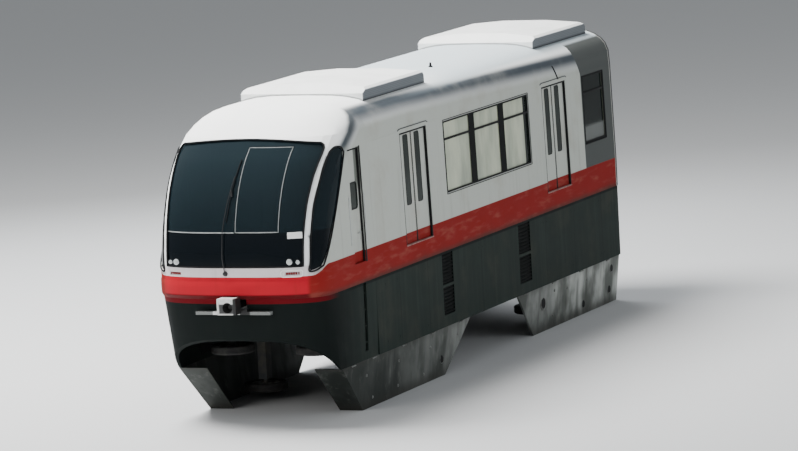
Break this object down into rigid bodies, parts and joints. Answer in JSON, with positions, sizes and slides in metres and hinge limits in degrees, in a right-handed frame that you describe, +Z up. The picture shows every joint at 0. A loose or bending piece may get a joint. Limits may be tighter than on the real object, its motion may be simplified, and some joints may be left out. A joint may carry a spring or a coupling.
{
  "type": "monorail car",
  "caption": "Leading car of a straddle-beam monorail train, with a rounded cab, sliding doors, a hollow saloon and two bogies whose tyres grip the beam.",
  "frame": {"origin": "middle of the car on the top face of the track beam, where the running tyres stand", "axes": "+X towards the cab, +Y towards the car's left side, +Z up"},
  "size_m": [14.846, 2.98, 5.235],
  "materials": {
    "body_white": "satin white paint",
    "interior_grey": "matt grey paint",
    "dark_glass": "smooth dark tinted glass",
    "charcoal": "satin dark grey paint",
    "cover_metal": "dull, streaked and dirty",
    "gear_steel": "matt grey paint",
    "tyre_rubber": "matt",
    "bellows_rubber": "matt, folded",
    "seat_cloth": "woven blue cloth"
  },
  "bodies": {
    "car_body": {"side_wall_left": "body_white", "side_wall_right": "body_white", "roof_shell": "body_white", "nose_shell": "body_white", "roof_unit_front": "body_white", "roof_unit_rear": "body_white", "floor_deck": "interior_grey", "rear_wall": "interior_grey", "cab_partition": "interior_grey", "driver_desk": "interior_grey", "side_window_left": "dark_glass", "side_window_right": "dark_glass", "end_window_left": "dark_glass", "end_window_right": "dark_glass", "windscreen": "dark_glass", "quarter_glass_left": "dark_glass", "quarter_glass_right": "dark_glass", "nose_apron": "charcoal", "side_skirt_left": "charcoal", "side_skirt_right": "charcoal", "bogie_cover_front_left": "cover_metal", "bogie_cover_front_right": "cover_metal", "bogie_cover_rear_left": "cover_metal", "bogie_cover_rear_right": "cover_metal", "front_coupler": "gear_steel", "rear_drawbar": "gear_steel", "underfloor_equipment": "gear_steel", "gangway_bellows": "bellows_rubber", "driver_seat": "seat_cloth", "bench_left": "seat_cloth", "bench_right": "seat_cloth"},
    "bogie_front": {"bogie_frame_front": "gear_steel"},
    "running_axle_front_fore": {"running_axle_front_fore": "tyre_rubber"},
    "guide_wheel_front_fore_left": {"guide_wheel_front_fore_left": "tyre_rubber"},
    "guide_wheel_front_fore_right": {"guide_wheel_front_fore_right": "tyre_rubber"},
    "running_axle_front_aft": {"running_axle_front_aft": "tyre_rubber"},
    "guide_wheel_front_aft_left": {"guide_wheel_front_aft_left": "tyre_rubber"},
    "guide_wheel_front_aft_right": {"guide_wheel_front_aft_right": "tyre_rubber"},
    "stabilising_wheel_front_left": {"stabilising_wheel_front_left": "tyre_rubber"},
    "stabilising_wheel_front_right": {"stabilising_wheel_front_right": "tyre_rubber"},
    "bogie_rear": {"bogie_frame_rear": "gear_steel"},
    "running_axle_rear_fore": {"running_axle_rear_fore": "tyre_rubber"},
    "guide_wheel_rear_fore_left": {"guide_wheel_rear_fore_left": "tyre_rubber"},
    "guide_wheel_rear_fore_right": {"guide_wheel_rear_fore_right": "tyre_rubber"},
    "running_axle_rear_aft": {"running_axle_rear_aft": "tyre_rubber"},
    "guide_wheel_rear_aft_left": {"guide_wheel_rear_aft_left": "tyre_rubber"},
    "guide_wheel_rear_aft_right": {"guide_wheel_rear_aft_right": "tyre_rubber"},
    "stabilising_wheel_rear_left": {"stabilising_wheel_rear_left": "tyre_rubber"},
    "stabilising_wheel_rear_right": {"stabilising_wheel_rear_right": "tyre_rubber"},
    "door_front_fore_left": {"door_front_fore_left": "body_white"},
    "door_front_aft_left": {"door_front_aft_left": "body_white"},
    "door_front_fore_right": {"door_front_fore_right": "body_white"},
    "door_front_aft_right": {"door_front_aft_right": "body_white"},
    "door_rear_fore_left": {"door_rear_fore_left": "body_white"},
    "door_rear_aft_left": {"door_rear_aft_left": "body_white"},
    "door_rear_fore_right": {"door_rear_fore_right": "body_white"},
    "door_rear_aft_right": {"door_rear_aft_right": "body_white"},
    "crew_door_left": {"crew_door_left": "body_white"},
    "crew_door_right": {"crew_door_right": "body_white"},
    "front_exit_door": {"front_exit_door": "dark_glass"}
  },
  "joints": [
    {"name": "bogie_front_yaw", "type": "hinge", "parent": "car_body", "child": "bogie_front", "pos_m": [4.25, 0, 0.48], "axis": [0, 0, 1], "range_deg": [-5, 5]},
    {"name": "running_axle_front_fore_spin", "type": "hinge", "parent": "bogie_front", "child": "running_axle_front_fore", "pos_m": [5, 0, 0.48], "axis": [0, 1, 0], "continuous": true},
    {"name": "guide_wheel_front_fore_left_spin", "type": "hinge", "parent": "bogie_front", "child": "guide_wheel_front_fore_left", "pos_m": [5.5, 0.765, -0.25], "axis": [0, 0, 1], "continuous": true},
    {"name": "guide_wheel_front_fore_right_spin", "type": "hinge", "parent": "bogie_front", "child": "guide_wheel_front_fore_right", "pos_m": [5.5, -0.765, -0.25], "axis": [0, 0, 1], "continuous": true},
    {"name": "running_axle_front_aft_spin", "type": "hinge", "parent": "bogie_front", "child": "running_axle_front_aft", "pos_m": [3.5, 0, 0.48], "axis": [0, 1, 0], "continuous": true},
    {"name": "guide_wheel_front_aft_left_spin", "type": "hinge", "parent": "bogie_front", "child": "guide_wheel_front_aft_left", "pos_m": [3, 0.765, -0.25], "axis": [0, 0, 1], "continuous": true},
    {"name": "guide_wheel_front_aft_right_spin", "type": "hinge", "parent": "bogie_front", "child": "guide_wheel_front_aft_right", "pos_m": [3, -0.765, -0.25], "axis": [0, 0, 1], "continuous": true},
    {"name": "stabilising_wheel_front_left_spin", "type": "hinge", "parent": "bogie_front", "child": "stabilising_wheel_front_left", "pos_m": [4.25, 0.765, -1.085], "axis": [0, 0, 1], "continuous": true},
    {"name": "stabilising_wheel_front_right_spin", "type": "hinge", "parent": "bogie_front", "child": "stabilising_wheel_front_right", "pos_m": [4.25, -0.765, -1.085], "axis": [0, 0, 1], "continuous": true},
    {"name": "bogie_rear_yaw", "type": "hinge", "parent": "car_body", "child": "bogie_rear", "pos_m": [-4.35, 0, 0.48], "axis": [0, 0, 1], "range_deg": [-5, 5]},
    {"name": "running_axle_rear_fore_spin", "type": "hinge", "parent": "bogie_rear", "child": "running_axle_rear_fore", "pos_m": [-3.6, 0, 0.48], "axis": [0, 1, 0], "continuous": true},
    {"name": "guide_wheel_rear_fore_left_spin", "type": "hinge", "parent": "bogie_rear", "child": "guide_wheel_rear_fore_left", "pos_m": [-3.1, 0.765, -0.25], "axis": [0, 0, 1], "continuous": true},
    {"name": "guide_wheel_rear_fore_right_spin", "type": "hinge", "parent": "bogie_rear", "child": "guide_wheel_rear_fore_right", "pos_m": [-3.1, -0.765, -0.25], "axis": [0, 0, 1], "continuous": true},
    {"name": "running_axle_rear_aft_spin", "type": "hinge", "parent": "bogie_rear", "child": "running_axle_rear_aft", "pos_m": [-5.1, 0, 0.48], "axis": [0, 1, 0], "continuous": true},
    {"name": "guide_wheel_rear_aft_left_spin", "type": "hinge", "parent": "bogie_rear", "child": "guide_wheel_rear_aft_left", "pos_m": [-5.6, 0.765, -0.25], "axis": [0, 0, 1], "continuous": true},
    {"name": "guide_wheel_rear_aft_right_spin", "type": "hinge", "parent": "bogie_rear", "child": "guide_wheel_rear_aft_right", "pos_m": [-5.6, -0.765, -0.25], "axis": [0, 0, 1], "continuous": true},
    {"name": "stabilising_wheel_rear_left_spin", "type": "hinge", "parent": "bogie_rear", "child": "stabilising_wheel_rear_left", "pos_m": [-4.35, 0.765, -1.085], "axis": [0, 0, 1], "continuous": true},
    {"name": "stabilising_wheel_rear_right_spin", "type": "hinge", "parent": "bogie_rear", "child": "stabilising_wheel_rear_right", "pos_m": [-4.35, -0.765, -1.085], "axis": [0, 0, 1], "continuous": true},
    {"name": "door_front_fore_left_slide", "type": "slide", "parent": "car_body", "child": "door_front_fore_left", "axis": [1, 0, 0], "range_m": [0, 0.58]},
    {"name": "door_front_aft_left_slide", "type": "slide", "parent": "car_body", "child": "door_front_aft_left", "axis": [-1, 0, 0], "range_m": [0, 0.58]},
    {"name": "door_front_fore_right_slide", "type": "slide", "parent": "car_body", "child": "door_front_fore_right", "axis": [1, 0, 0], "range_m": [0, 0.58]},
    {"name": "door_front_aft_right_slide", "type": "slide", "parent": "car_body", "child": "door_front_aft_right", "axis": [-1, 0, 0], "range_m": [0, 0.58]},
    {"name": "door_rear_fore_left_slide", "type": "slide", "parent": "car_body", "child": "door_rear_fore_left", "axis": [1, 0, 0], "range_m": [0, 0.58]},
    {"name": "door_rear_aft_left_slide", "type": "slide", "parent": "car_body", "child": "door_rear_aft_left", "axis": [-1, 0, 0], "range_m": [0, 0.58]},
    {"name": "door_rear_fore_right_slide", "type": "slide", "parent": "car_body", "child": "door_rear_fore_right", "axis": [1, 0, 0], "range_m": [0, 0.58]},
    {"name": "door_rear_aft_right_slide", "type": "slide", "parent": "car_body", "child": "door_rear_aft_right", "axis": [-1, 0, 0], "range_m": [0, 0.58]},
    {"name": "crew_door_left_hinge", "type": "hinge", "parent": "car_body", "child": "crew_door_left", "pos_m": [5.472, 1.37, 2.1], "axis": [0, 0, 1], "range_deg": [0, 85]},
    {"name": "crew_door_right_hinge", "type": "hinge", "parent": "car_body", "child": "crew_door_right", "pos_m": [5.472, -1.37, 2.1], "axis": [0, 0, -1], "range_deg": [0, 85]},
    {"name": "front_exit_door_hinge", "type": "hinge", "parent": "car_body", "child": "front_exit_door", "pos_m": [6.294, 0.455, 3.184], "axis": [0, -1, 0], "range_deg": [0, 80]}
  ],
  "couplings": [
    {"joint": "door_front_aft_left_slide", "follows": "door_front_fore_left_slide", "ratio": 1},
    {"joint": "door_front_aft_right_slide", "follows": "door_front_fore_right_slide", "ratio": 1},
    {"joint": "door_rear_aft_left_slide", "follows": "door_rear_fore_left_slide", "ratio": 1},
    {"joint": "door_rear_aft_right_slide", "follows": "door_rear_fore_right_slide", "ratio": 1}
  ]
}
